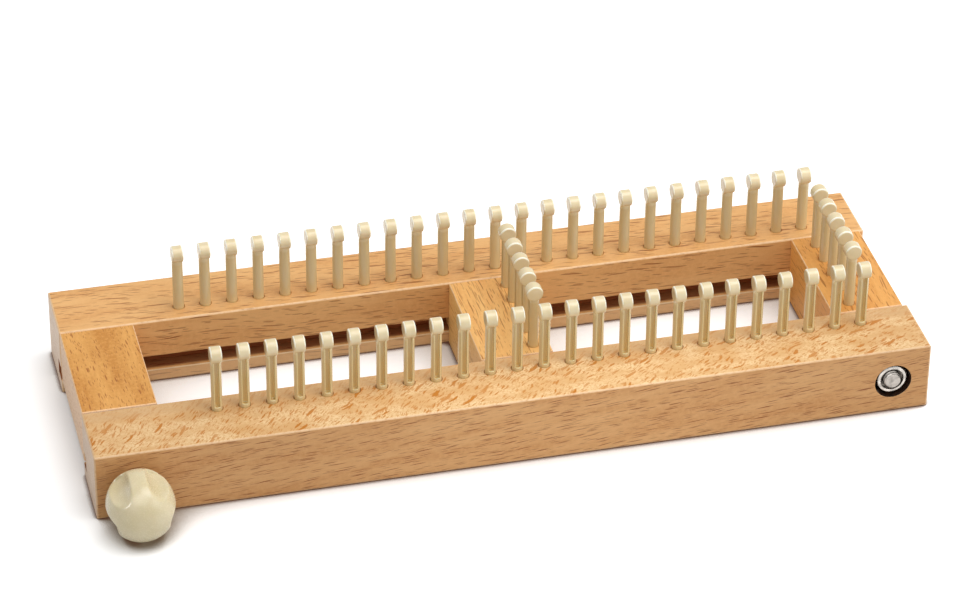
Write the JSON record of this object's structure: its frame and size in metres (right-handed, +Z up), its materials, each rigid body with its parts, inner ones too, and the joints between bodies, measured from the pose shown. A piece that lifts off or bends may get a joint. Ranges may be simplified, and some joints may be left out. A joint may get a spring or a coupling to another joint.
{
  "type": "sock knitting loom",
  "caption": "Adjustable beech peg loom for knitting socks: two grooved rails of slotted pegs, a sliding pegged block, fixed end blocks, a clamp knob and a through bolt.",
  "frame": {"origin": "centre of the whole object's box in plan, on the surface that the rails stand on", "axes": "+X along the rails from the knob's end to the fixed block, +Y from the front rail to the back rail, +Z up along the pegs"},
  "size_m": [0.2938, 0.126, 0.0503],
  "materials": {
    "beech": "satin sealed, eased edges",
    "peg_nylon": "ivory, soft gloss",
    "knob_plastic": "ivory, soft gloss",
    "insert_brass": "turned",
    "plated_steel": "zinc plated, satin"
  },
  "bodies": {
    "frame": {"front_rail": "beech", "back_rail": "beech", "left_end_block": "beech", "right_end_block": "beech", "front_pegs_01_05": "peg_nylon", "front_pegs_06_10": "peg_nylon", "front_pegs_11_15": "peg_nylon", "front_pegs_16_20": "peg_nylon", "front_pegs_21_25": "peg_nylon", "back_pegs_01_05": "peg_nylon", "back_pegs_06_10": "peg_nylon", "back_pegs_11_15": "peg_nylon", "back_pegs_16_20": "peg_nylon", "back_pegs_21_25": "peg_nylon", "end_peg_1": "peg_nylon", "end_peg_2": "peg_nylon", "end_peg_3": "peg_nylon", "end_peg_4": "peg_nylon", "end_peg_5": "peg_nylon", "clamp_bolt": "plated_steel", "clamp_head_washer": "plated_steel", "end_bolt": "plated_steel", "end_head_washer": "plated_steel", "lock_nut": "plated_steel"},
    "slider": {"slider_block": "beech", "slider_peg_1": "peg_nylon", "slider_peg_2": "peg_nylon", "slider_peg_3": "peg_nylon", "slider_peg_4": "peg_nylon", "slider_peg_5": "peg_nylon"},
    "washer": {"clamp_knob_washer": "plated_steel"},
    "clamp_knob": {"knob": "knob_plastic", "knob_insert": "insert_brass"}
  },
  "joints": [
    {"name": "slider_slide", "type": "slide", "parent": "frame", "child": "slider", "axis": [1, 0, 0], "range_m": [-0.1128, 0.101]},
    {"name": "knob_travel", "type": "slide", "parent": "frame", "child": "washer", "axis": [0, -1, 0], "range_m": [0, 0.0026]},
    {"name": "knob_turn", "type": "hinge", "parent": "washer", "child": "clamp_knob", "pos_m": [-0.13345, -0.0433, 0.0123], "axis": [0, -1, 0], "range_deg": [0, 720]}
  ],
  "couplings": [
    {"joint": "knob_travel", "follows": "knob_turn", "m_per_rad": 0.00020213}
  ]
}
